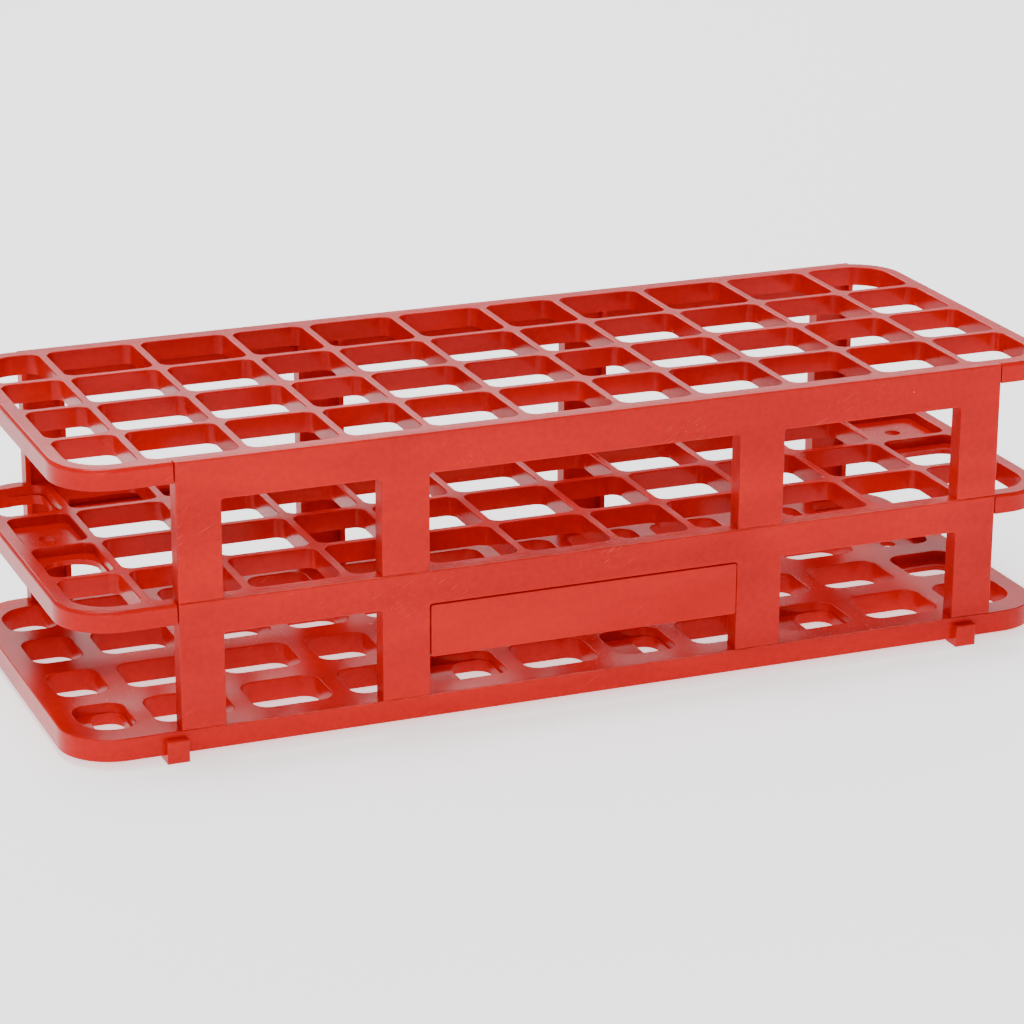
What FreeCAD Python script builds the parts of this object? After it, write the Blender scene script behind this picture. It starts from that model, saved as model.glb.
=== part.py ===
import FreeCAD, Part
import os

import Sketcher

# Test tube rack in moulded polypropylene: three grid decks held apart by
# channel-section side frames, a label plate and four clip-on feet.
# Frame: +Z up, millimetres, origin on the table under the middle of the rack,
# +X along the length, -Y towards the labelled front.

DOC = FreeCAD.newDocument("tube_rack")
SHEET = DOC.addObject("Spreadsheet::Sheet", "Sizes")

SIZES = (
    ("cell_width", 27.4),      # opening of a full-width column
    ("narrow_cell", 22.8),     # opening of the two narrow columns
    ("first_cell", 19.0),      # opening of the left end column
    ("last_cell", 24.9),       # opening of the right end column
    ("cell_depth", 26.1),      # opening front to back, every row
    ("rib", 2.6),              # rib between two openings
    ("end_rim", 4.8),          # rim at the left and right ends
    ("side_rim", 5.3),         # rim along the front and rear
    ("cell_radius", 3.2),
    ("deck_radius", 16.5),     # vertical corners of the decks
    ("deck_height", 6.2),
    ("base_height", 6.8),
    ("base_inset_x", 1.7),     # base cells are smaller, to hold the tubes up
    ("base_inset_y", 3.0),
    ("base_radius", 4.6),
    ("web_recess", 3.0),       # depth of the web plates below the deck top
    ("web_thick", 1.6),
    ("web_hole", 5.0),
    ("web_shelf", 10.5),       # web plate left standing beside a post
    ("end_shelf", 5.0),        # web plate left standing in an end column
    ("web_bend", 8.0),         # curved edge of a partial web plate
    ("web_ledge", 0.6),        # narrow ledge on the other sides
    ("lower_tier", 38.8),      # base deck top to middle deck top
    ("upper_tier", 42.3),      # middle deck top to top deck top
    ("foot_drop", 2.2),        # clearance under the base deck
    ("skin", 2.6),             # wall of the side frames
    ("proud", 0.3),            # frames stand proud of the rims
    ("flange", 1.6),           # sides of the channel-section posts
    ("seam", 0.35),            # gap at the ends of a frame
    ("upper_rail", 12.4),
    ("lower_rail", 10.4),
    ("window_radius", 0.8),
    ("front_start", 32.5),     # deck end to front frame
    ("end_post", 13.4),
    ("middle_post", 14.8),
    ("left_window", 48.0),
    ("label_window", 98.8),
    ("front_end", 21.7),       # front frame to the other deck end
    ("rear_start", 18.8),      # deck end to rear frame
    ("rear_end", 11.8),
    ("rear_post", 15.0),
    ("tongue", 2.4),           # tongues under the posts
    ("tongue_width", 7.0),
    ("tongue_thick", 1.0),
    ("tongue_set", 0.9),       # tongue face behind the frame face
    ("tab_width", 8.0),        # tabs that carry the decks
    ("tab_reach", 1.4),
    ("tab_height", 2.0),
    ("tab_depth", 3.4),        # tab top below the deck top
    ("fit", 0.1),              # clearance all round a tongue or tab
    ("label_height", 16.4),
    ("label_thick", 2.2),
    ("label_gap", 0.25),
    ("label_proud", 0.2),
    ("key_width", 4.0),        # keys at the ends of the label plate
    ("key_reach", 1.1),
    ("foot_start", 27.4),      # deck end to foot clip
    ("foot_width", 6.7),
    ("foot_wall", 2.4),
    ("foot_height", 7.0),
    ("foot_gap", 2.4),         # rim held between the wall and the inner leg
    ("foot_grip", 2.0),        # inner leg of the clip, in a slot in the rim
    ("foot_leg", 3.4),
    ("rim_round", 1.1),        # rounded top edges
    ("base_round", 0.4),
    ("cell_round", 0.4),
    ("frame_round", 0.5),
)
for line, (alias, value) in enumerate(SIZES, start=1):
    SHEET.set("A%d" % line, alias)
    SHEET.set("B%d" % line, str(value))
    SHEET.setAlias("B%d" % line, alias)
DOC.recompute()

COLUMNS = ["first_cell", "cell_width", "cell_width", "narrow_cell", "cell_width",
           "cell_width", "narrow_cell", "cell_width", "cell_width", "cell_width", "last_cell"]
ROWS = 4


def size(alias):
    """Expression that reads one cell of the sheet."""
    return "Sizes." + alias


def add(*terms):
    return "(" + " + ".join(terms) + ")"


def less(first, *others):
    return "(" + " - ".join((first,) + others) + ")"


def times(factor, term):
    return "(%s * %s)" % (factor, term)


def number(expression):
    """Present value of an expression, as a plain number."""
    return float(SHEET.evalExpression(expression))


# ---------------------------------------------------------------- positions

def cell_left(column):
    """Left edge of a column's opening, columns counted from 1 at the left."""
    passed = [size(name) for name in COLUMNS[:column - 1]]
    return add(size("end_rim"), times(column - 1, size("rib")), *passed)


def cell_right(column):
    return add(cell_left(column), size(COLUMNS[column - 1]))


def cell_front(row):
    """Front edge of a row's opening, rows counted from 1 at the front."""
    return add(size("side_rim"), times(row - 1, add(size("cell_depth"), size("rib"))))


def cell_back(row):
    return add(cell_front(row), size("cell_depth"))


LENGTH = add(cell_right(len(COLUMNS)), size("end_rim"))
DEPTH = add(cell_back(ROWS), size("side_rim"))
LAST_FOOT = less(LENGTH, size("foot_start"), size("foot_width"))
BASE_TOP = add(size("foot_drop"), size("base_height"))
MIDDLE_TOP = add(BASE_TOP, size("lower_tier"))
TOP = add(MIDDLE_TOP, size("upper_tier"))

FRONT_REST = [size(name) for name in ("front_start", "end_post", "left_window", "middle_post",
                                      "label_window", "middle_post", "end_post", "front_end")]
RIGHT_WINDOW = less(LENGTH, *FRONT_REST)
REAR_REST = [size(name) for name in ("rear_start", "end_post", "rear_post", "rear_post",
                                     "end_post", "rear_end")]
REAR_WINDOW = "(%s / 3)" % less(LENGTH, *REAR_REST)
FRONT_STEPS = [size("end_post"), size("left_window"), size("middle_post"), size("label_window"),
               size("middle_post"), RIGHT_WINDOW, size("end_post")]
REAR_STEPS = [size("end_post"), REAR_WINDOW, size("rear_post"), REAR_WINDOW,
              size("rear_post"), REAR_WINDOW, size("end_post")]


def step_start(steps, index):
    """Distance from a frame's end to the start of its post or window."""
    return add(*steps[:index]) if index else "0"


def step_end(steps, index):
    return step_start(steps, index + 1)


# ------------------------------------------------------------ sketch helpers

def new_body(name):
    body = DOC.addObject("PartDesign::Body", name)
    body.Label = name
    return body


def new_sketch(body, name, level="0"):
    sketch = body.newObject("Sketcher::SketchObject", name)
    plane = [item for item in body.Origin.OriginFeatures if item.Role == "XY_Plane"][0]
    sketch.AttachmentSupport = [(plane, "")]
    sketch.MapMode = "FlatFace"
    if level != "0":
        sketch.setExpression("AttachmentOffset.Base.z", level)
    return sketch


def hold(sketch, constraints, bindings):
    """Add constraints in one go, then bind the named ones to the sheet."""
    first = sketch.ConstraintCount
    sketch.addConstraint(constraints)
    for offset, (name, expression) in bindings.items():
        sketch.renameConstraint(first + offset, name)
        sketch.setExpression("Constraints." + name, expression)


def edge_place(axis, geometry, expression):
    """Constraint that holds a line's first point at a distance from the origin."""
    value = number(expression)
    if abs(value) < 1e-9:
        return Sketcher.Constraint("PointOnObject", geometry, 1, -2 if axis == "X" else -1)
    return Sketcher.Constraint("Distance" + axis, -1, 1, geometry, 1, value)


def rectangle(sketch, tag, left, right, low, high, radii=None):
    """Rectangle with its corners rounded in the order low-left, low-right,
    high-right, high-left. Every side and radius stays bound to the sheet."""
    x0, x1, y0, y1 = [number(item) for item in (left, right, low, high)]
    corner = [FreeCAD.Vector(*point) for point in
              ((x0, y0, 0), (x1, y0, 0), (x1, y1, 0), (x0, y1, 0))]
    along = [(corner[(side + 1) % 4] - corner[side]).normalize() for side in range(4)]
    bend = [number(item) for item in radii] if radii else [0, 0, 0, 0]
    first = sketch.GeometryCount
    shapes = []
    for side in range(4):
        start = corner[side] + along[side] * bend[side]
        end = corner[(side + 1) % 4] - along[side] * bend[(side + 1) % 4]
        shapes.append(Part.LineSegment(start, end))
    if radii:
        for index in range(4):
            before, after = along[index - 1], along[index]
            middle = corner[index] + (after - before) * bend[index] * (1 - 0.5 ** 0.5)
            shapes.append(Part.Arc(corner[index] - before * bend[index], middle,
                                   corner[index] + after * bend[index]))
    sketch.addGeometry(shapes, False)
    rules = []
    for side in range(4):
        rules.append(Sketcher.Constraint("Vertical" if side % 2 else "Horizontal", first + side))
    bindings = {}
    for side, (axis, place) in enumerate((("Y", low), ("X", right), ("Y", high), ("X", left))):
        if number(place):
            bindings[len(rules)] = ("%s_side%d" % (tag, side), place)
        rules.append(edge_place(axis, first + side, place))
    for index in range(4):
        line, last = first + index, first + (index - 1) % 4
        if not radii:
            rules.append(Sketcher.Constraint("Coincident", last, 2, line, 1))
            continue
        arc = first + 4 + index
        start, end = arc_ends(sketch, arc, last)
        rules.append(Sketcher.Constraint("Tangent", last, 2, arc, start))
        rules.append(Sketcher.Constraint("Tangent", arc, end, line, 1))
        bindings[len(rules)] = ("%s_round%d" % (tag, index), radii[index])
        rules.append(Sketcher.Constraint("Radius", arc, bend[index]))
    hold(sketch, rules, bindings)


def arc_ends(sketch, arc, line):
    """Which end of an arc meets the end of the line before it."""
    gap = sketch.getPoint(arc, 1) - sketch.getPoint(line, 2)
    return (1, 2) if gap.Length < 1e-6 else (2, 1)


def polygon(sketch, tag, points):
    """Closed outline through points given as pairs of expressions."""
    first = sketch.GeometryCount
    places = [FreeCAD.Vector(number(x), number(y), 0) for x, y in points]
    count = len(points)
    sketch.addGeometry([Part.LineSegment(places[i], places[(i + 1) % count])
                        for i in range(count)], False)
    rules, bindings = [], {}
    for i in range(count):
        rules.append(Sketcher.Constraint("Coincident", first + i, 2, first + (i + 1) % count, 1))
        for axis, place in zip("XY", points[i]):
            if number(place):
                bindings[len(rules)] = ("%s_%s%d" % (tag, axis.lower(), i), place)
            rules.append(edge_place(axis, first + i, place))
    hold(sketch, rules, bindings)


def circle(sketch, tag, x, y, diameter):
    centre = FreeCAD.Vector(number(x), number(y), 0)
    index = sketch.GeometryCount
    sketch.addGeometry(Part.Circle(centre, FreeCAD.Vector(0, 0, 1), number(diameter) / 2), False)
    rules = [Sketcher.Constraint("DistanceX", -1, 1, index, 3, centre.x),
             Sketcher.Constraint("DistanceY", -1, 1, index, 3, centre.y),
             Sketcher.Constraint("Diameter", index, number(diameter))]
    hold(sketch, rules, {0: (tag + "_x", x), 1: (tag + "_y", y), 2: (tag + "_size", diameter)})


def pad(body, sketch, name, length, down=False):
    feature = body.newObject("PartDesign::Pad", name)
    feature.Profile = sketch
    feature.Reversed = down
    feature.setExpression("Length", length)
    DOC.recompute()
    return feature


def pocket(body, sketch, name, length, up=False):
    """Cut downwards from the sketch, or upwards when up is set."""
    before = body.Shape.Volume
    feature = body.newObject("PartDesign::Pocket", name)
    feature.Profile = sketch
    feature.Reversed = up
    feature.Refine = not body.Label.endswith("deck")
    feature.setExpression("Length", length)
    DOC.recompute()
    if not body.Shape.Volume < before:
        raise RuntimeError(name + " cut nothing")
    return feature


def round_edges(body, name, radius, chosen):
    """Fillet the edges of the body's last feature that chosen(edge) accepts."""
    base = body.Tip
    edges = ["Edge%d" % (i + 1) for i, edge in enumerate(base.Shape.Edges) if chosen(edge)]
    if not edges:
        raise RuntimeError(name + " found no edges")
    feature = body.newObject("PartDesign::Fillet", name)
    feature.Base = (base, edges)
    feature.setExpression("Radius", radius)
    DOC.recompute()
    if "Invalid" in feature.State or "Error" in feature.State:
        raise RuntimeError(name + " failed")
    return feature


def level_edge(edge, level):
    """True when an edge lies flat at one height."""
    box = edge.BoundBox
    return abs(box.ZMin - level) < 1e-4 and abs(box.ZMax - level) < 1e-4


# -------------------------------------------------------------------- decks

def cell_radii(column, row, radius, across, wide):
    """Corner radii of one cell; a corner cell follows the deck's own corner."""
    small = "min(%s; 0.35 * %s)" % (size(radius), wide)
    limit = less(size("deck_radius"), across, "(%s + %s) / 2" % (size("end_rim"), size("side_rim")))
    outer = "min(%s; %s)" % (limit, less(wide, small, size("web_ledge")))
    radii = [small] * 4
    corner = {(1, 1): 0, (len(COLUMNS), 1): 1, (len(COLUMNS), ROWS): 2, (1, ROWS): 3}
    if (column, row) in corner:
        radii[corner[column, row]] = outer
    return radii


def deck(name, height, webs, inset=None, radius="cell_radius", dress=()):
    """Grid deck. A blank is dressed with the cuts that take the other pieces,
    then all its cells are cut at once. Webs is a dict of (column, row): side
    for the cells that a recessed plate partly closes."""
    blank = new_body(name + "_blank")
    outline = new_sketch(blank, name + "_outline")
    rectangle(outline, "edge", "0", LENGTH, "0", DEPTH, [size("deck_radius")] * 4)
    pad(blank, outline, name + "_block", size(height))
    for cut in dress:
        cut(blank, name, height)
    across, along = (size(inset[0]), size(inset[1])) if inset else ("0", "0")
    cells, openings = [], []
    web_floor = less(size(height), size("web_recess"), size("web_thick"))
    for column in range(1, len(COLUMNS) + 1):
        left, right = add(cell_left(column), across), less(cell_right(column), across)
        for row in range(1, ROWS + 1):
            front, back = add(cell_front(row), along), less(cell_back(row), along)
            sides = (left, right, front, back)
            radii = cell_radii(column, row, radius, across, less(right, left))
            tag = "%s_c%dr%d" % (name, column, row)
            if (column, row) in webs:
                recess = less(size(height), size("web_recess"))
                cells.append(cutter(tag + "_above", sides, radii, recess, add(size("web_recess"), "1")))
                cells.append(cutter(tag + "_below", sides, radii, "-1", add(web_floor, "1")))
                openings.append(web_cutter(tag + "_opening", column, webs[column, row], sides, height))
            else:
                cells.append(cutter(tag, sides, radii, "-1", add(size(height), "2")))
    shape = cut_all(name + "_cells", blank, cells)
    if openings:
        shape = cut_all(name + "_webs", shape, openings)
    body = new_body(name)
    body.BaseFeature = shape
    DOC.recompute()
    return body


def loose_sketch(name, level):
    """Sketch of its own, lying flat at a level, for a cutter."""
    sketch = DOC.addObject("Sketcher::SketchObject", name)
    sketch.setExpression("Placement.Base.z", level)
    return sketch


def extruded(name, sketch, length):
    solid = DOC.addObject("Part::Extrusion", name)
    solid.Base = sketch
    solid.DirMode = "Normal"
    solid.Solid = True
    solid.setExpression("LengthFwd", length)
    return solid


def cutter(name, sides, radii, level, length):
    """Rounded block that cuts one cell."""
    sketch = loose_sketch(name + "_outline", level)
    rectangle(sketch, "cell", *sides, radii)
    return extruded(name, sketch, length)


def cut_all(name, base, cutters):
    """Cut many separate cutters from a solid at once."""
    tools = DOC.addObject("Part::Compound", name + "_cutters")
    tools.Links = cutters
    cut = DOC.addObject("Part::Cut", name)
    cut.Base, cut.Tool = base, tools
    cut.Refine = False
    DOC.recompute()
    if not 0 < cut.Shape.Volume < base.Shape.Volume:
        raise RuntimeError(name + " cut nothing")
    return cut


def web_cutter(name, column, side, sides, height):
    """Opening in a web plate, from below the deck to above it."""
    sketch = loose_sketch(name + "_outline", "-1")
    web_opening(sketch, "web", column, side, *sides)
    return extruded(name, sketch, add(size(height), "2"))


def web_opening(sketch, tag, column, side, left, right, front, back):
    """Opening in a web plate. The plate stands on the named side of the cell
    with curved corners; a full plate has only a round hole."""
    if side == "full":
        centre = "(%s + %s) / 2" % (left, right), "(%s + %s) / 2" % (front, back)
        circle(sketch, tag + "_hole", centre[0], centre[1], size("web_hole"))
        return
    shelf = size("end_shelf" if column in (1, len(COLUMNS)) else "web_shelf")
    ledge = size("web_ledge")
    room = {place: shelf if place == side else ledge for place in ("left", "right", "front", "back")}
    low_x, high_x = add(left, room["left"]), less(right, room["right"])
    low_y, high_y = add(front, room["front"]), less(back, room["back"])
    wide, deep = less(high_x, low_x), less(high_y, low_y)
    large = "min(%s; 0.45 * %s; 0.45 * %s)" % (size("web_bend"), wide, deep)
    small = "min(%s; 0.45 * %s; 0.45 * %s)" % (size("cell_radius"), wide, deep)
    curved = {"left": (0, 3), "right": (1, 2), "front": (0, 1), "back": (2, 3)}[side]
    rectangle(sketch, tag, low_x, high_x, low_y, high_y,
              [large if index in curved else small for index in range(4)])


def seat_frames(body, name, height):
    """Recesses in both long rims where the side frames sit, with slots for
    the frames' tabs on the underside."""
    recess = new_sketch(body, name + "_seats")
    slots = new_sketch(body, name + "_slots")
    seat = less(size("skin"), size("proud"))
    for side, start, steps in (("front", size("front_start"), FRONT_STEPS),
                               ("rear", size("rear_start"), REAR_STEPS)):
        first = less(start, size("seam"))
        last = add(start, step_end(steps, 6), size("seam"))
        low, high = ("0", seat) if side == "front" else (less(DEPTH, seat), DEPTH)
        rectangle(recess, side, first, last, low, high)
        reach = add(size("tab_reach"), size("fit"))
        for index in (0, 2, 4, 6):
            middle = add(start, "(%s + %s) / 2" % (step_start(steps, index), step_end(steps, index)))
            half = add("%s / 2" % size("tab_width"), size("fit"))
            near, far = (seat, add(seat, reach)) if side == "front" else (less(DEPTH, seat, reach),
                                                                        less(DEPTH, seat))
            rectangle(slots, "%s%d" % (side, index), less(middle, half), add(middle, half), near, far)
    pocket(body, recess, name + "_frame_seats", add(size(height), "1"), up=True)
    rise = add(less(size(height), size("tab_depth")), size("fit"))
    pocket(body, slots, name + "_tab_slots", rise, up=True)


def tongue_slots(body, name, height):
    """Slots in the base rim for the tongues under the lower frames."""
    slots = new_sketch(body, name + "_tongue_slots", size(height))
    thick = add(size("tongue_thick"), times(2, size("fit")))
    near = less(size("tongue_set"), size("proud"), size("fit"))
    for side, start, steps in (("front", size("front_start"), FRONT_STEPS),
                               ("rear", size("rear_start"), REAR_STEPS)):
        for index in (0, 2, 4, 6):
            middle = add(start, "(%s + %s) / 2" % (step_start(steps, index), step_end(steps, index)))
            half = add("%s / 2" % size("tongue_width"), size("fit"))
            low, high = (near, add(near, thick)) if side == "front" else (less(DEPTH, near, thick),
                                                                         less(DEPTH, near))
            rectangle(slots, "%s%d" % (side, index), less(middle, half), add(middle, half), low, high)
    pocket(body, slots, name + "_slots", add(size("tongue"), size("fit")))


def foot_slots(body, name, height):
    """Slots in the underside of the base rim for the inner legs of the feet."""
    slots = new_sketch(body, name + "_foot_slots")
    near = less(size("foot_gap"), size("fit"))
    far = add(size("foot_gap"), size("foot_grip"), size("fit"))
    for end, start in (("left", size("foot_start")), ("right", LAST_FOOT)):
        left, right = less(start, size("fit")), add(start, size("foot_width"), size("fit"))
        rectangle(slots, end + "_front", left, right, near, far)
        rectangle(slots, end + "_rear", left, right, less(DEPTH, far), less(DEPTH, near))
    pocket(body, slots, name + "_foot_seats", add(size("foot_leg"), size("fit")), up=True)


def round_rim(body, name, height, radius="rim_round"):
    """Round the outer top edge of a deck."""
    top, length, depth = number(size(height)), number(LENGTH), number(DEPTH)
    corner = number(size("deck_radius"))

    def on_outline(edge):
        middle = edge.valueAt((edge.FirstParameter + edge.LastParameter) / 2)
        curved = edge.Curve.TypeId == "Part::GeomCircle" and abs(edge.Curve.Radius - corner) < 1e-4
        return curved or min(middle.x, middle.y, length - middle.x, depth - middle.y) < 1e-4

    round_edges(body, name + "_rim_round", size(radius),
                lambda edge: level_edge(edge, top) and on_outline(edge))


def round_base_rim(body, name, height):
    round_rim(body, name, height, "base_round")


def finish_deck(body, name, height, level):
    """Round the cells' top edges and stand the deck at its level."""
    top, length, depth = number(size(height)), number(LENGTH), number(DEPTH)
    margin = number(size("end_rim")) - 0.3

    def on_cell(edge):
        box = edge.BoundBox
        inside = min(box.XMin, length - box.XMax, box.YMin, depth - box.YMax)
        return level_edge(edge, top) and inside > margin

    round_edges(body, name + "_cell_round", size("cell_round"), on_cell)
    body.setExpression("Placement.Base.x", times(-0.5, LENGTH))
    body.setExpression("Placement.Base.y", times(-0.5, DEPTH))
    body.setExpression("Placement.Base.z", level)


# Web plates by (column, row): the side of the cell where the plate stands.
END_WEBS = {(1, 4): "front", (1, 3): "full", (1, 2): "back",
            (11, 4): "front", (11, 3): "full", (11, 2): "back"}
BASE_WEBS = {(1, 1): "left", (5, 1): "left", (7, 1): "left", (9, 1): "left",
             (11, 4): "front", (11, 3): "full", (11, 2): "back"}

top_deck = deck("top_deck", "deck_height", {}, dress=(seat_frames, round_rim))
finish_deck(top_deck, "top_deck", "deck_height", less(TOP, size("deck_height")))

middle_deck = deck("middle_deck", "deck_height", END_WEBS, dress=(seat_frames, round_rim))
finish_deck(middle_deck, "middle_deck", "deck_height", less(MIDDLE_TOP, size("deck_height")))

base_deck = deck("base_deck", "base_height", BASE_WEBS, inset=("base_inset_x", "base_inset_y"),
                 radius="base_radius", dress=(tongue_slots, foot_slots, round_base_rim))
finish_deck(base_deck, "base_deck", "base_height", size("foot_drop"))


# ------------------------------------------------------------- side frames

def frame(name, steps, start, tier, rail, rear=False, label=False, socket=False):
    """Side frame: a flat wall with three windows and channel-section posts.
    It is drawn lying down, outer face up at height 0, with its tongues' tips
    on the X axis, and then stood on edge."""
    body = new_body(name)
    foot = size("tongue")
    height = add(foot, size(tier))
    sill = less(height, size(rail))
    wall = new_sketch(body, name + "_wall")
    rectangle(wall, "rail", "0", step_end(steps, 6), sill, height)
    pad(body, wall, name + "_rail", size("skin"), down=True)
    posts = new_sketch(body, name + "_posts")
    for index in (0, 2, 4, 6):
        rectangle(posts, "p%d" % index, step_start(steps, index), step_end(steps, index),
                  foot, add(sill, "1"))
    pad(body, posts, name + "_post_walls", size("skin"), down=True)

    sides = new_sketch(body, name + "_flanges")
    flange = size("flange")
    under_deck = less(height, size("deck_height"))
    for index in (0, 2, 4, 6):
        left, right = step_start(steps, index), step_end(steps, index)
        for tag, low, high in (("a", left, add(left, flange)), ("b", less(right, flange), right)):
            rectangle(sides, "f%d%s" % (index, tag), low, high, foot, under_deck)
    reach = add(size("side_rim"), size("proud"))
    pad(body, sides, name + "_channels", reach, down=True)
    lips = new_sketch(body, name + "_lips")
    for index in (1, 3, 5):
        rectangle(lips, "l%d" % index, less(step_start(steps, index), "0.5"),
                  add(step_end(steps, index), "0.5"), sill, add(sill, flange))
    pad(body, lips, name + "_rail_lips", reach, down=True)

    tongues = new_sketch(body, name + "_tongues", times(-1, size("tongue_set")))
    tabs = new_sketch(body, name + "_tabs")
    slots = new_sketch(body, name + "_slots", times(-1, less(size("tongue_set"), size("fit"))))
    for index in (0, 2, 4, 6):
        middle = "(%s + %s) / 2" % (step_start(steps, index), step_end(steps, index))
        half = "%s / 2" % size("tongue_width")
        rectangle(tongues, "t%d" % index, less(middle, half), add(middle, half), "0", add(foot, "1"))
        wide = "%s / 2" % size("tab_width")
        rectangle(tabs, "t%d" % index, less(middle, wide), add(middle, wide),
                  less(height, size("tab_depth"), size("tab_height")), less(height, size("tab_depth")))
    pad(body, tongues, name + "_post_tongues", size("tongue_thick"), down=True)
    pad(body, tabs, name + "_deck_tabs", add(size("skin"), size("tab_reach")), down=True)
    if socket:
        for index, middle in enumerate(socket):
            half = add("%s / 2" % size("tongue_width"), size("fit"))
            rectangle(slots, "s%d" % index, less(middle, half), add(middle, half),
                      less(height, size("tongue"), size("fit")), add(height, "1"))
        pocket(body, slots, name + "_sockets", add(size("tongue_thick"), times(2, size("fit"))))
    if label:
        key_slots(body, name, steps, sill)

    jambs = [number(step_start(steps, i)) for i in (1, 3, 5)]
    jambs += [number(step_end(steps, i)) for i in (1, 3, 5)]

    def window_corner(edge):
        box = edge.BoundBox
        deep = box.ZLength > number(size("skin")) - 1e-3 and max(box.XLength, box.YLength) < 1e-3
        return deep and abs(box.YMin - number(sill)) < 1e-3 and \
            min(abs(box.XMin - place) for place in jambs) < 1e-3

    round_edges(body, name + "_window_round", size("window_radius"), window_corner)

    def outer_edge(edge):
        box = edge.BoundBox
        return level_edge(edge, 0) and box.DiagonalLength > 3

    round_edges(body, name + "_face_round", size("frame_round"), outer_edge)
    stand_up(body, rear, add(size("proud"), times(0.5, DEPTH)))
    place = less(start, times(0.5, LENGTH))
    if rear:
        place = add(place, step_end(steps, 6))
    body.setExpression("Placement.Base.x", place)
    return body


def stand_up(body, rear, out):
    """Turn a piece drawn lying down so that its outer face looks out."""
    upright = FreeCAD.Rotation(FreeCAD.Vector(1, 0, 0), 90)
    turned = FreeCAD.Rotation(FreeCAD.Vector(0, 0, 1), 180 if rear else 0)
    body.Placement = FreeCAD.Placement(FreeCAD.Vector(0, 0, 0), turned.multiply(upright))
    body.setExpression("Placement.Base.y", out if rear else times(-1, out))


def key_places(sill):
    """Lower edges of the two keys at each end of the label plate."""
    low = less(sill, size("label_height"))
    return [add(low, times(share, size("label_height"))) for share in (0.15, 0.6)]


def key_slots(body, name, steps, sill):
    """Slots in the jambs of the middle window for the label plate's keys."""
    slots = new_sketch(body, name + "_key_slots", times(-1, less(size("tongue_set"), size("fit"))))
    reach = add(size("key_reach"), size("fit"))
    left, right = step_start(steps, 3), step_end(steps, 3)
    for index, low in enumerate(key_places(sill)):
        bottom, top = less(low, size("fit")), add(low, size("key_width"), size("fit"))
        rectangle(slots, "a%d" % index, less(left, reach), add(left, "0.5"), bottom, top)
        rectangle(slots, "b%d" % index, less(right, "0.5"), add(right, reach), bottom, top)
    pocket(body, slots, name + "_key_cuts", add(size("tongue_thick"), times(2, size("fit"))))


def post_middles(steps):
    return ["(%s + %s) / 2" % (step_start(steps, i), step_end(steps, i)) for i in (0, 2, 4, 6)]


FRAMES = (
    ("upper_front_frame", FRONT_STEPS, "front_start", "upper_tier", "upper_rail", False, MIDDLE_TOP),
    ("lower_front_frame", FRONT_STEPS, "front_start", "lower_tier", "lower_rail", False, BASE_TOP),
    ("upper_rear_frame", REAR_STEPS, "rear_start", "upper_tier", "upper_rail", True, MIDDLE_TOP),
    ("lower_rear_frame", REAR_STEPS, "rear_start", "lower_tier", "lower_rail", True, BASE_TOP),
)
for name, steps, start, tier, rail, rear, level in FRAMES:
    lower = name.startswith("lower")
    body = frame(name, steps, size(start), tier, rail, rear=rear,
                 label=name == "lower_front_frame",
                 socket=post_middles(steps) if lower else False)
    body.setExpression("Placement.Base.z", less(level, size("tongue")))


# -------------------------------------------------------------- label plate

def label_plate():
    """Plate keyed into the top of the middle window of the lower front frame."""
    body = new_body("label_plate")
    gap = size("label_gap")
    low = "0.4"
    high = less(add(low, size("label_height")), gap)
    reach = size("key_reach")
    width = less(size("label_window"), times(2, gap))
    left, right = reach, add(reach, width)
    face = new_sketch(body, "label_face", size("label_proud"))
    rectangle(face, "face", left, right, low, high, [size("window_radius")] * 4)
    pad(body, face, "label_block", size("label_thick"), down=True)
    keys = new_sketch(body, "label_keys", times(-1, size("tongue_set")))
    for index, share in enumerate((0.15, 0.6)):
        bottom = add(low, times(share, size("label_height")))
        top = add(bottom, size("key_width"))
        rectangle(keys, "a%d" % index, "0", add(left, "0.5"), bottom, top)
        rectangle(keys, "b%d" % index, less(right, "0.5"), add(right, reach), bottom, top)
    pad(body, keys, "label_end_keys", size("tongue_thick"), down=True)
    front = number(size("label_proud"))
    round_edges(body, "label_round", "%s / 2" % size("frame_round"),
                lambda edge: level_edge(edge, front))
    stand_up(body, False, add(size("proud"), times(0.5, DEPTH)))
    window = add(size("front_start"), step_start(FRONT_STEPS, 3), gap)
    body.setExpression("Placement.Base.x", less(window, times(0.5, LENGTH), reach))
    sill = less(MIDDLE_TOP, size("lower_rail"))
    body.setExpression("Placement.Base.z", less(sill, size("label_height"), low))


label_plate()


# --------------------------------------------------------------------- feet

def foot(name, start, rear):
    """Clip-on foot: a U that grips the rim of the base deck from below. Its
    section is drawn in the plane of the sketch and padded along the length."""
    body = new_body(name)
    section = new_sketch(body, name + "_section")
    wall, grip = size("foot_wall"), size("foot_grip")
    drop = size("foot_drop")
    inner = add(wall, size("foot_gap"))
    leg = add(drop, size("foot_leg"))
    polygon(section, "u", (("0", "0"), (add(inner, grip), "0"), (add(inner, grip), leg),
                           (inner, leg), (inner, drop), (wall, drop),
                           (wall, size("foot_height")), ("0", size("foot_height"))))
    pad(body, section, name + "_block", size("foot_width"))
    outer = number(size("foot_height"))
    round_edges(body, name + "_round", size("frame_round"),
                lambda edge: outside_edge(edge, outer))
    upright = FreeCAD.Rotation(FreeCAD.Vector(1, 0, 0), 90)
    turned = FreeCAD.Rotation(FreeCAD.Vector(0, 0, 1), -90 if rear else 90)
    body.Placement = FreeCAD.Placement(FreeCAD.Vector(0, 0, 0), turned.multiply(upright))
    out = add(times(0.5, DEPTH), wall)
    body.setExpression("Placement.Base.y", out if rear else times(-1, out))
    place = less(start, times(0.5, LENGTH))
    if rear:
        place = add(place, size("foot_width"))
    body.setExpression("Placement.Base.x", place)


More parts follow.
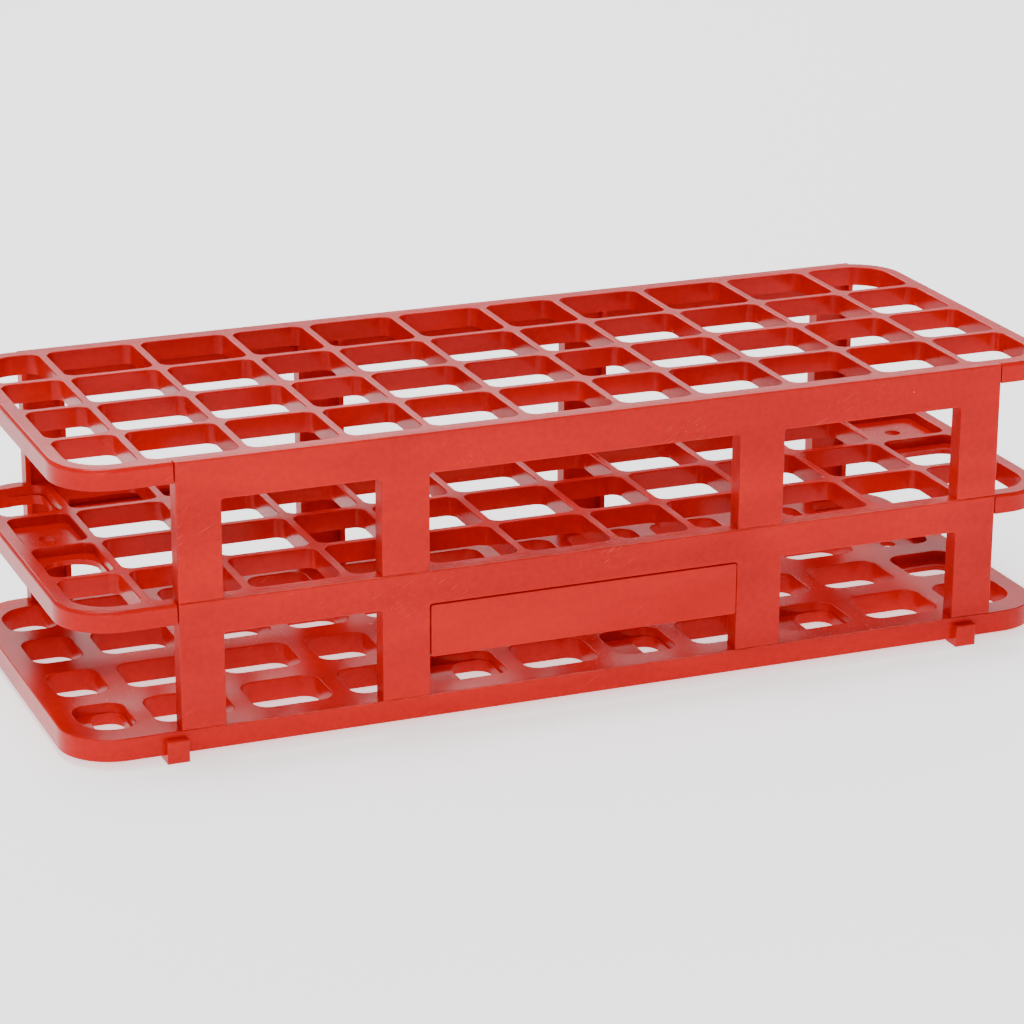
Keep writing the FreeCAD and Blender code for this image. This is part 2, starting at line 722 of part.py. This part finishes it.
def outside_edge(edge, height):
    """Edges of a foot's outer face and top."""
    box = edge.BoundBox
    return box.XMax < 1e-4 or (box.YMin > height - 1e-4)


for end, start in (("left", size("foot_start")), ("right", LAST_FOOT)):
    for side in ("front", "rear"):
        foot("foot_%s_%s" % (side, end), start, side == "rear")


# -------------------------------------------------------------- check, write

DOC.recompute()
for item in DOC.Objects:
    if "Invalid" in item.State or "Error" in item.State:
        raise RuntimeError(item.Label + " failed to build")
BODIES = [item for item in DOC.Objects
          if item.TypeId == "PartDesign::Body" and not item.Label.endswith("_blank")]
for body in BODIES:
    if body.Shape.isNull() or not body.Shape.isValid():
        raise RuntimeError(body.Label + " is not a valid solid")
    if len(body.Shape.Solids) != 1:
        raise RuntimeError("%s has %d solids" % (body.Label, len(body.Shape.Solids)))
os.makedirs("parts", exist_ok=True)
for body in BODIES:
    body.Shape.exportStep("parts/%s.step" % body.Label)
    box = body.Shape.BoundBox
    print("%-18s %9.1f mm3  x %.1f..%.1f  y %.1f..%.1f  z %.1f..%.1f" % (
        body.Label, body.Shape.Volume, box.XMin, box.XMax, box.YMin, box.YMax, box.ZMin, box.ZMax))
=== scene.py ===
"""Finishes, flash lines and stage of a moulded test tube rack, as an add-on run as a script."""

import math
import random

import bmesh
import bpy
from bpy.props import FloatProperty, FloatVectorProperty, IntProperty, PointerProperty
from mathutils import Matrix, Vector


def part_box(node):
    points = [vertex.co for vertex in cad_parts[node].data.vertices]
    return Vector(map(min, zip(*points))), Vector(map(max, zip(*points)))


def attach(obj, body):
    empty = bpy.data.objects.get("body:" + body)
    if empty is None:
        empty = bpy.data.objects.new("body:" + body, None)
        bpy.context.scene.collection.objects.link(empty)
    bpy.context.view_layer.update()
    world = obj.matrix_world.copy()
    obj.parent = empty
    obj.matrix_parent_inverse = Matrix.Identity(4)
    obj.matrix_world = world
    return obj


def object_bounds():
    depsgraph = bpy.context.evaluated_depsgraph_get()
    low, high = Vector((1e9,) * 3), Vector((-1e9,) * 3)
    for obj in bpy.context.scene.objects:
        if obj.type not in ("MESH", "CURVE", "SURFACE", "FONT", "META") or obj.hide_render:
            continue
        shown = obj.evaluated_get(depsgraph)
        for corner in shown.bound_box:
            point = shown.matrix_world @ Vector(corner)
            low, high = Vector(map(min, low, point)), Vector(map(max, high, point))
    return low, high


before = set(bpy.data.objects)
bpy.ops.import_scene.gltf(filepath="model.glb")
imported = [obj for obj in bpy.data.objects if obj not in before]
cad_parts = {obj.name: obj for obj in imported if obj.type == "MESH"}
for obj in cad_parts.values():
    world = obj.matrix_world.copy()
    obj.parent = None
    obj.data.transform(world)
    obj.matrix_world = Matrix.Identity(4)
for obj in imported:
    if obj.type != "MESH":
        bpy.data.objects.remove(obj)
CAD_LOW, CAD_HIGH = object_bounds()

bl_info = {
    "name": "Moulded tube rack",
    "version": (1, 0, 0),
    "blender": (4, 5, 0),
    "location": "3D View > Sidebar > Tube Rack",
    "description": "Finishes and small moulding details of a three-tier test tube rack",
    "category": "Object",
}

DECKS = ("top_deck", "middle_deck", "base_deck")
FRAMES = ("upper_front_frame", "lower_front_frame", "upper_rear_frame", "lower_rear_frame")
FEET = ("foot_front_left", "foot_front_right", "foot_rear_left", "foot_rear_right")
BODY = "root"

# how far each kind of mark turns the plastic pale, and how it shapes the surface; the edge share is a
# painted highlight along every rounded edge
SCRATCH_PALE = 0.35
SPECK_PALE = 0.55
# painted highlight: share of pale red laid along every rounded edge
EDGE_HIGHLIGHT_PALE = 0.10
SCRATCH_ROUGH = 0.18
SPECK_DEPTH = -2.0
SCRATCH_DEPTH = -0.8

# roughness swings between these shares of its value
ROUGH_LOW = 0.88
ROUGH_HIGH = 1.14

# sockets of the colour Mix node, which share their names with its other kinds
COLOUR_A = 6
COLOUR_B = 7
COLOUR_RESULT = 2

FLASH_END_GAP = 0.001
FLASH_SINK = 0.2
FLASH_STEP = 0.0022
FLASH_FADE = 12

# name, place, size and power in watts
LIGHTS = (
    ("overhead_softbox", Vector((-0.25, 0.25, 1.5)), (0.8, 0.5), 22.0),
    ("front_softbox", Vector((-0.7, -1.7, 0.9)), (1.0, 0.8), 18.0),
    ("rear_strip", Vector((0.5, 1.3, 0.8)), (1.4, 0.35), 10.0))


# ------------------------------------------------------------------ settings

class RackPlasticSettings(bpy.types.PropertyGroup):
    """Colours and finish of the moulded plastic."""

    red: FloatVectorProperty(
        name="Red", description="Colour of the moulded plastic", subtype="COLOR",
        default=(0.52, 0.0004, 0.0002), min=0.0, max=1.0)
    deep_red: FloatVectorProperty(
        name="Deep red", description="Darker streaks left by the flow of the melt", subtype="COLOR",
        default=(0.24, 0.0006, 0.0005), min=0.0, max=1.0)
    # pale red is also the colour of the painted highlight along rounded edges
    pale_red: FloatVectorProperty(
        name="Pale red", description="Stress-whitened plastic at specks, scuffs and flash",
        subtype="COLOR", default=(0.90, 0.16, 0.12), min=0.0, max=1.0)
    gloss: FloatProperty(
        name="Deck roughness", description="Roughness of the polished decks",
        default=0.24, min=0.0, max=1.0, subtype="FACTOR")
    satin: FloatProperty(
        name="Frame roughness", description="Roughness of the satin side frames",
        default=0.36, min=0.0, max=1.0, subtype="FACTOR")
    matt: FloatProperty(
        name="Label roughness", description="Roughness of the finely grained label plate",
        default=0.50, min=0.0, max=1.0, subtype="FACTOR")


class RackMouldingSettings(bpy.types.PropertyGroup):
    """Sizes of the small marks that moulding leaves."""

    flash_height: FloatProperty(
        name="Flash height", description="How far the flash stands out along a joint",
        default=0.00014, min=0.0, unit="LENGTH")
    flash_width: FloatProperty(
        name="Flash width", description="Width of the ragged line of flash",
        default=0.00032, min=0.0, unit="LENGTH")
    seed: IntProperty(
        name="Seed", description="Start of the random draws for ragged edges", default=25, min=0)


class RackStageSettings(bpy.types.PropertyGroup):
    """Camera, floor and lights."""

    azimuth: FloatProperty(
        name="Azimuth", description="Camera angle round the rack from straight ahead",
        default=math.radians(-21.32), subtype="ANGLE")
    elevation: FloatProperty(
        name="Elevation", description="Camera angle above the table",
        default=math.radians(19.27), subtype="ANGLE")
    distance: FloatProperty(
        name="Distance", description="From the camera to the point it aims at",
        default=1.099, unit="LENGTH")
    aim: FloatVectorProperty(
        name="Aim", description="Point that the camera aims at", size=3, subtype="TRANSLATION",
        default=(-0.0127, 0.0024, 0.0382))
    lens: FloatProperty(name="Lens", description="Focal length in millimetres", default=124.2)
    shift: FloatVectorProperty(
        name="Shift", description="Shift of the camera's frame", size=2, default=(0.042, 0.007))
    floor_size: FloatProperty(
        name="Floor size", description="Side of the floor", default=9.0, unit="LENGTH")
    floor_colour: FloatVectorProperty(
        name="Floor colour", description="Colour of the floor", subtype="COLOR",
        default=(0.93, 0.93, 0.93), min=0.0, max=1.0)
    surround: FloatProperty(
        name="Surround", description="Strength of the white surround", default=0.6, min=0.0)
    floor_glow: FloatProperty(
        name="Floor glow", description="Light given off by the backlit paper", default=1.1, min=0.0)


# ----------------------------------------------------------- shader building

def link(tree, source, target):
    tree.links.new(source, target)


def node(tree, kind, **values):
    """Add a shader node and set its properties, then its inputs by name."""
    made = tree.nodes.new(kind)
    inputs = values.pop("inputs", {})
    for key, value in values.items():
        setattr(made, key, value)
    for key, value in inputs.items():
        made.inputs[key].default_value = value
    return made


def new_group(name, inputs, outputs):
    """Empty shader node group with named sockets."""
    group = bpy.data.node_groups.new(name, "ShaderNodeTree")
    for label, kind, default in inputs:
        socket = group.interface.new_socket(name=label, in_out="INPUT", socket_type=kind)
        if default is not None:
            socket.default_value = default
    for label, kind in outputs:
        group.interface.new_socket(name=label, in_out="OUTPUT", socket_type=kind)
    return group, group.nodes.new("NodeGroupInput"), group.nodes.new("NodeGroupOutput")


def mapped(tree, vector, low, high, floor=0.0, ceiling=1.0):
    """Stretch a value from low..high to floor..ceiling, clamped."""
    made = node(tree, "ShaderNodeMapRange", clamp=True, inputs={
        "From Min": low, "From Max": high, "To Min": floor, "To Max": ceiling})
    link(tree, vector, made.inputs["Value"])
    return made.outputs["Result"]


def combined(tree, operation, first, second):
    """Math node on two sockets or numbers."""
    made = node(tree, "ShaderNodeMath", operation=operation)
    for index, value in enumerate((first, second)):
        if isinstance(value, (int, float)):
            made.inputs[index].default_value = value
        else:
            link(tree, value, made.inputs[index])
    return made.outputs[0]


def flow_group():
    """Slow streaks of colour left by the flow of the melt."""
    group, inlet, outlet = new_group("melt_flow", [
        ("Vector", "NodeSocketVector", None),
        ("Base", "NodeSocketColor", (0.6, 0.01, 0.01, 1)),
        ("Deep", "NodeSocketColor", (0.4, 0.0, 0.0, 1)),
        ("Amount", "NodeSocketFloat", 0.4)],
        [("Color", "NodeSocketColor"), ("Cloud", "NodeSocketFloat")])
    stretch = node(group, "ShaderNodeMapping", inputs={"Scale": (9.0, 22.0, 38.0)})
    link(group, inlet.outputs["Vector"], stretch.inputs["Vector"])
    cloud = node(group, "ShaderNodeTexNoise", inputs={
        "Scale": 1.0, "Detail": 4.0, "Roughness": 0.55, "Distortion": 0.8})
    link(group, stretch.outputs["Vector"], cloud.inputs["Vector"])
    fleck = node(group, "ShaderNodeTexNoise", inputs={"Scale": 520.0, "Detail": 2.0})
    link(group, inlet.outputs["Vector"], fleck.inputs["Vector"])
    slow = mapped(group, cloud.outputs["Fac"], 0.35, 0.68)
    fine = mapped(group, fleck.outputs["Fac"], 0.40, 0.66, 0.0, 0.35)
    share = combined(group, "MULTIPLY", combined(group, "ADD", slow, fine), inlet.outputs["Amount"])
    mix = node(group, "ShaderNodeMix", data_type="RGBA", clamp_factor=True)
    link(group, share, mix.inputs["Factor"])
    link(group, inlet.outputs["Base"], mix.inputs[COLOUR_A])
    link(group, inlet.outputs["Deep"], mix.inputs[COLOUR_B])
    link(group, mix.outputs[COLOUR_RESULT], outlet.inputs["Color"])
    link(group, slow, outlet.inputs["Cloud"])
    return group


def grain_group():
    """Fine grain of the mould's wall, as a height."""
    group, inlet, outlet = new_group("mould_grain", [
        ("Vector", "NodeSocketVector", None), ("Scale", "NodeSocketFloat", 1400.0)],
        [("Height", "NodeSocketFloat")])
    coarse = node(group, "ShaderNodeTexNoise", inputs={"Detail": 3.0, "Roughness": 0.6})
    link(group, inlet.outputs["Vector"], coarse.inputs["Vector"])
    link(group, inlet.outputs["Scale"], coarse.inputs["Scale"])
    ripple = node(group, "ShaderNodeTexNoise", inputs={"Scale": 70.0, "Detail": 2.0, "Roughness": 0.4})
    link(group, inlet.outputs["Vector"], ripple.inputs["Vector"])
    waves = combined(group, "MULTIPLY", ripple.outputs["Fac"], 6.0)
    link(group, combined(group, "ADD", coarse.outputs["Fac"], waves), outlet.inputs["Height"])
    return group


def pits_group():
    """Sparse pits and specks: a mask that is 1 in each speck."""
    group, inlet, outlet = new_group("pits_and_specks", [
        ("Vector", "NodeSocketVector", None), ("Spacing", "NodeSocketFloat", 110.0),
        ("Size", "NodeSocketFloat", 0.05), ("Share", "NodeSocketFloat", 0.3)],
        [("Mask", "NodeSocketFloat")])
    cells = node(group, "ShaderNodeTexVoronoi", feature="F1", inputs={"Randomness": 1.0})
    link(group, inlet.outputs["Vector"], cells.inputs["Vector"])
    link(group, inlet.outputs["Spacing"], cells.inputs["Scale"])
    spread = node(group, "ShaderNodeSeparateColor")
    link(group, cells.outputs["Color"], spread.inputs["Color"])
    size = combined(group, "MULTIPLY", inlet.outputs["Size"], spread.outputs["Green"])
    spot = combined(group, "LESS_THAN", cells.outputs["Distance"], size)
    chosen = combined(group, "LESS_THAN", spread.outputs["Red"], inlet.outputs["Share"])
    link(group, combined(group, "MULTIPLY", spot, chosen), outlet.inputs["Mask"])
    return group


def hairline_group():
    """Short fine scratches in one direction: a mask that is 1 on each line."""
    group, inlet, outlet = new_group("hairline_scratches", [
        ("Vector", "NodeSocketVector", None), ("Turn", "NodeSocketVector", None),
        ("Amount", "NodeSocketFloat", 0.5)], [("Mask", "NodeSocketFloat")])
    turn = node(group, "ShaderNodeVectorRotate", rotation_type="EULER_XYZ")
    link(group, inlet.outputs["Vector"], turn.inputs["Vector"])
    link(group, inlet.outputs["Turn"], turn.inputs["Rotation"])
    stretch = node(group, "ShaderNodeMapping", inputs={"Scale": (70.0, 2600.0, 2600.0)})
    link(group, turn.outputs["Vector"], stretch.inputs["Vector"])
    lines = node(group, "ShaderNodeTexNoise", inputs={"Scale": 1.0, "Detail": 0.0})
    link(group, stretch.outputs["Vector"], lines.inputs["Vector"])
    patches = node(group, "ShaderNodeTexNoise", inputs={"Scale": 34.0, "Detail": 1.0})
    link(group, inlet.outputs["Vector"], patches.inputs["Vector"])
    thin = mapped(group, lines.outputs["Fac"], 0.74, 0.80)
    where = mapped(group, patches.outputs["Fac"], 0.52, 0.66)
    both = combined(group, "MULTIPLY", thin, where)
    link(group, combined(group, "MULTIPLY", both, inlet.outputs["Amount"]), outlet.inputs["Mask"])
    return group


def painted_edge_highlight_group():
    """Painted edge highlight: a mask that rises where a rounded edge bends the surface, used to pale the
    colour there.
    """
    group, inlet, outlet = new_group("painted_edge_highlight", [
        ("Reach", "NodeSocketFloat", 0.0006)], [("Mask", "NodeSocketFloat")])
    soft = node(group, "ShaderNodeBevel", samples=2)
    link(group, inlet.outputs["Reach"], soft.inputs["Radius"])
    flat = node(group, "ShaderNodeNewGeometry")
    dot = node(group, "ShaderNodeVectorMath", operation="DOT_PRODUCT")
    link(group, soft.outputs["Normal"], dot.inputs[0])
    link(group, flat.outputs["Normal"], dot.inputs[1])
    link(group, mapped(group, dot.outputs["Value"], 0.995, 0.80), outlet.inputs["Mask"])
    return group


GROUP_MAKERS = {
    "melt_flow": flow_group,
    "mould_grain": grain_group,
    "pits_and_specks": pits_group,
    "hairline_scratches": hairline_group,
    "painted_edge_highlight": painted_edge_highlight_group,
}


def placed(tree, name, vector=None, **values):
    """Put a shared effect in a material, making the group at its first use."""
    group = bpy.data.node_groups.get(name) or GROUP_MAKERS[name]()
    made = tree.nodes.new("ShaderNodeGroup")
    made.node_tree = group
    for key, value in values.items():
        made.inputs[key.capitalize()].default_value = value
    if vector is not None:
        link(tree, vector, made.inputs["Vector"])
    return made


def opaque(colour):
    return (*colour, 1.0)


def plastic(name, settings, roughness, grain=1400.0, bump=0.06, specks=0.3, scratches=0.5, flow=0.45,
            lift=0.0):
    """Coloured polypropylene straight from the mould, with a painted highlight paling its rounded edges.
    """
    material = bpy.data.materials.new(name)
    material.use_nodes = True
    tree = material.node_tree
    shader = tree.nodes["Principled BSDF"]
    place = node(tree, "ShaderNodeTexCoord").outputs["Object"]
    base = Vector(settings.red).lerp(Vector(settings.pale_red), lift)
    colour = placed(tree, "melt_flow", place, base=opaque(base), deep=opaque(settings.deep_red),
                    amount=flow)
    pits = placed(tree, "pits_and_specks", place, spacing=105.0, size=0.055, share=specks)
    lines = placed(tree, "hairline_scratches", place, turn=(0.3, 0.5, 0.2), amount=scratches)
    cross = placed(tree, "hairline_scratches", place, turn=(0.1, -0.9, 1.2), amount=scratches)
    # painted highlight: mask along every rounded edge where the colour turns pale
    edge_highlight = placed(tree, "painted_edge_highlight", reach=0.0005)

    marks = combined(tree, "MAXIMUM", lines.outputs["Mask"], cross.outputs["Mask"])
    pale = combined(tree, "MAXIMUM", combined(tree, "MULTIPLY", marks, SCRATCH_PALE),
                    combined(tree, "MULTIPLY", pits.outputs["Mask"], SPECK_PALE))
    # painted highlight along rounded edges, mixed with the real whitening of scratches and specks
    painted_highlight = combined(tree, "MULTIPLY", edge_highlight.outputs["Mask"], EDGE_HIGHLIGHT_PALE)
    pale = combined(tree, "MAXIMUM", pale, painted_highlight)
    mix = node(tree, "ShaderNodeMix", data_type="RGBA", clamp_factor=True)
    mix.inputs[COLOUR_B].default_value = opaque(settings.pale_red)
    link(tree, pale, mix.inputs["Factor"])
    link(tree, colour.outputs["Color"], mix.inputs[COLOUR_A])
    link(tree, mix.outputs[COLOUR_RESULT], shader.inputs["Base Color"])

    cloud = mapped(tree, colour.outputs["Cloud"], 0.0, 1.0, roughness * ROUGH_LOW, roughness * ROUGH_HIGH)
    rough = combined(tree, "ADD", cloud, combined(tree, "MULTIPLY", marks, SCRATCH_ROUGH))
    link(tree, rough, shader.inputs["Roughness"])

    height = placed(tree, "mould_grain", place, scale=grain).outputs["Height"]
    dents = combined(tree, "MULTIPLY", pits.outputs["Mask"], SPECK_DEPTH)
    cuts = combined(tree, "MULTIPLY", marks, SCRATCH_DEPTH)
    total = combined(tree, "ADD", height, combined(tree, "ADD", dents, cuts))
    relief = node(tree, "ShaderNodeBump", inputs={"Strength": bump, "Distance": 0.0004})
    link(tree, total, relief.inputs["Height"])
    link(tree, relief.outputs["Normal"], shader.inputs["Normal"])
    shader.inputs["IOR"].default_value = 1.49
    shader.inputs["Specular IOR Level"].default_value = 0.12
    shader.inputs["Coat Weight"].default_value = 0.04
    shader.inputs["Coat Roughness"].default_value = 0.12
    return material


def dress(name, material):
    """Give a carried-over piece its material."""
    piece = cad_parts[name]
    if not piece.material_slots:
        piece.data.materials.append(material)
    for slot in piece.material_slots:
        slot.material = material
    for face in piece.data.polygons:
        face.use_smooth = True


def add_piece(name, mesh, material):
    """Add a new piece to the scene, riding on the rack."""
    mesh.materials.append(material)
    piece = bpy.data.objects.new(name, mesh)
    bpy.context.scene.collection.objects.link(piece)
    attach(piece, BODY)
    return piece


# ------------------------------------------------------------------ operators

class RACK_OT_decks(bpy.types.Operator):
    """Finish the three grid decks"""

    bl_idname = "tuberack.decks"
    bl_label = "Grid decks"

    def execute(self, context):
        settings = context.scene.rack_plastic
        polished = plastic("deck_polypropylene", settings, settings.gloss, grain=900.0, bump=0.05,
                           specks=0.16, scratches=0.35)
        for name in DECKS:
            dress(name, polished)
        return {"FINISHED"}


class RACK_OT_frames(bpy.types.Operator):
    """Finish the four side frames"""

    bl_idname = "tuberack.frames"
    bl_label = "Side frames"

    def execute(self, context):
        settings = context.scene.rack_plastic
        satin = plastic("frame_polypropylene", settings, settings.satin, grain=1500.0, bump=0.08,
                        specks=0.34, scratches=0.7, lift=0.02)
        for name in FRAMES:
            dress(name, satin)
        return {"FINISHED"}


class RACK_OT_label(bpy.types.Operator):
    """Finish the blank label plate"""

    bl_idname = "tuberack.label"
    bl_label = "Label plate"

    def execute(self, context):
        settings = context.scene.rack_plastic
        matt = plastic("label_polypropylene", settings, settings.matt, grain=2600.0, bump=0.12,
                       specks=0.2, scratches=0.4, flow=0.3, lift=0.03)
        dress("label_plate", matt)
        return {"FINISHED"}


class RACK_OT_feet(bpy.types.Operator):
    """Finish the four clip-on feet"""

    bl_idname = "tuberack.feet"
    bl_label = "Feet"

    def execute(self, context):
        settings = context.scene.rack_plastic
        worn = plastic("foot_polypropylene", settings, settings.gloss, grain=700.0, bump=0.10,
                       specks=0.45, scratches=1.0, lift=0.03)
        for name in FEET:
            dress(name, worn)
        return {"FINISHED"}


def ragged_line(start, end, out, width, height, seed):
    """Thin ragged ridge from start to end that stands out along out."""
    draw = random.Random(seed)
    along = end - start
    count = max(4, round(along.length / FLASH_STEP))
    side = along.normalized().cross(out)
    bm = bmesh.new()
    rings = []
    for index in range(count + 1):
        share = index / count
        fade = min(1.0, share * FLASH_FADE, (1 - share) * FLASH_FADE)
        middle = start + along * share + side * draw.uniform(-0.25, 0.25) * width
        half = width * draw.uniform(0.12, 0.5) * fade
        rise = height * draw.uniform(0.25, 1.0) * fade
        rings.append([bm.verts.new(middle - side * half - out * width),
                      bm.verts.new(middle - side * half * 0.4 + out * rise),
                      bm.verts.new(middle + side * half * 0.4 + out * rise),
                      bm.verts.new(middle + side * half - out * width)])
    for before, after in zip(rings, rings[1:]):
        for corner in range(4):
            nearby = (corner + 1) % 4
            bm.faces.new((before[corner], before[nearby], after[nearby], after[corner]))
    bm.faces.new(reversed(rings[0]))
    bm.faces.new(rings[-1])
    bmesh.ops.recalc_face_normals(bm, faces=bm.faces)
    mesh = bpy.data.meshes.new("ragged_line")
    bm.to_mesh(mesh)
    bm.free()
    for face in mesh.polygons:
        face.use_smooth = True
    return mesh


class RACK_OT_flash(bpy.types.Operator):
    """Ragged flash where the frames meet each other and the base deck"""

    bl_idname = "tuberack.flash"
    bl_label = "Flash lines"

    def execute(self, context):
        plastic_settings = context.scene.rack_plastic
        sizes = context.scene.rack_moulding
        pale = plastic("flash_polypropylene", plastic_settings, plastic_settings.satin, bump=0.15,
                       specks=0.6, scratches=0.0, lift=0.35)
        joints = (("upper_front_frame", "lower_front_frame", -1),
                  ("upper_rear_frame", "lower_rear_frame", 1),
                  ("lower_front_frame", "base_deck", -1),
                  ("lower_rear_frame", "base_deck", 1))
        for index, (upper, lower, facing) in enumerate(joints):
            low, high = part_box(upper)
            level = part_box(lower)[1].z
            face = (low if facing < 0 else high).y
            out = Vector((0, facing, 0))
            start = Vector((low.x + FLASH_END_GAP, face, level))
            end = Vector((high.x - FLASH_END_GAP, face, level))
            inset = sizes.flash_height * FLASH_SINK
            mesh = ragged_line(start - out * inset, end - out * inset, out, sizes.flash_width,
                               sizes.flash_height, sizes.seed + index)
            add_piece("flash_%s" % upper, mesh, pale)
        return {"FINISHED"}


class RACK_OT_stage(bpy.types.Operator):
    """Set the camera, the pale floor and the soft lights"""

    bl_idname = "tuberack.stage"
    bl_label = "Stage"

    def execute(self, context):
        settings = context.scene.rack_stage
        self.camera(context, settings)
        self.floor(context, settings)
        self.surround(context, settings)
        self.lights(context)
        return {"FINISHED"}

    def camera(self, context, settings):
        data = bpy.data.cameras.new("camera")
        data.lens = settings.lens
        data.sensor_width = 36.0
        data.shift_x, data.shift_y = settings.shift
        data.clip_start, data.clip_end = 0.05, 50.0
        camera = bpy.data.objects.new("camera", data)
        flat = math.cos(settings.elevation)
        back = Vector((math.sin(settings.azimuth) * flat, -math.cos(settings.azimuth) * flat,
                       math.sin(settings.elevation)))
        camera.location = Vector(settings.aim) + back * settings.distance
        camera.rotation_mode = "QUATERNION"
        camera.rotation_quaternion = (-back).to_track_quat("-Z", "Y")
        context.scene.collection.objects.link(camera)
        context.scene.camera = camera

    def floor(self, context, settings):
        half = settings.floor_size / 2
        mesh = bpy.data.meshes.new("floor")
        corners = [(-half, -half, 0), (half, -half, 0), (half, half, 0), (-half, half, 0)]
        mesh.from_pydata(corners, [], [(0, 1, 2, 3)])
        floor = bpy.data.objects.new("floor", mesh)
        material = bpy.data.materials.new("floor_paper")
        material.use_nodes = True
        shader = material.node_tree.nodes["Principled BSDF"]
        shader.inputs["Base Color"].default_value = opaque(settings.floor_colour)
        shader.inputs["Roughness"].default_value = 0.85
        shader.inputs["Specular IOR Level"].default_value = 0.2
        shader.inputs["Emission Color"].default_value = opaque(settings.floor_colour)
        shader.inputs["Emission Strength"].default_value = settings.floor_glow
        mesh.materials.append(material)
        context.scene.collection.objects.link(floor)

    def surround(self, context, settings):
        world = bpy.data.worlds.new("surround")
        world.use_nodes = True
        shader = world.node_tree.nodes["Background"]
        shader.inputs["Color"].default_value = (1.0, 1.0, 1.0, 1.0)
        shader.inputs["Strength"].default_value = settings.surround
        context.scene.world = world

    def lights(self, context):
        middle = (CAD_LOW + CAD_HIGH) / 2
        for name, place, size, power in LIGHTS:
            data = bpy.data.lights.new(name, "AREA")
            data.shape = "RECTANGLE"
            data.size, data.size_y = size
            data.energy = power
            lamp = bpy.data.objects.new(name, data)
            lamp.location = place
            lamp.rotation_mode = "QUATERNION"
            lamp.rotation_quaternion = (middle - place).to_track_quat("-Z", "Y")
            context.scene.collection.objects.link(lamp)


class RACK_PT_panel(bpy.types.Panel):
    """Lists the rack's pieces and the stage"""

    bl_idname = "RACK_PT_panel"
    bl_label = "Tube Rack"
    bl_space_type = "VIEW_3D"
    bl_region_type = "UI"
    bl_category = "Tube Rack"

    def draw(self, context):
        for operator in OPERATORS:
            self.layout.operator(operator.bl_idname, text=operator.bl_label)
        for label, settings in (("Plastic", context.scene.rack_plastic),
                                ("Moulding", context.scene.rack_moulding),
                                ("Stage", context.scene.rack_stage)):
            column = self.layout.box().column(align=True)
            column.label(text=label)
            for key in settings.__annotations__:
                column.prop(settings, key)


SETTINGS = {"rack_plastic": RackPlasticSettings, "rack_moulding": RackMouldingSettings,
            "rack_stage": RackStageSettings}
OPERATORS = (RACK_OT_stage, RACK_OT_decks, RACK_OT_frames, RACK_OT_label, RACK_OT_feet, RACK_OT_flash)


def register():
    for cls in (*SETTINGS.values(), *OPERATORS, RACK_PT_panel):
        bpy.utils.register_class(cls)
    for name, cls in SETTINGS.items():
        setattr(bpy.types.Scene, name, PointerProperty(type=cls))


def unregister():
    for name in SETTINGS:
        delattr(bpy.types.Scene, name)
    for cls in reversed((*SETTINGS.values(), *OPERATORS, RACK_PT_panel)):
        bpy.utils.unregister_class(cls)


def main():
    register()
    for operator in OPERATORS:
        group, name = operator.bl_idname.split(".")
        getattr(getattr(bpy.ops, group), name)()


if __name__ == "__main__":
    main()
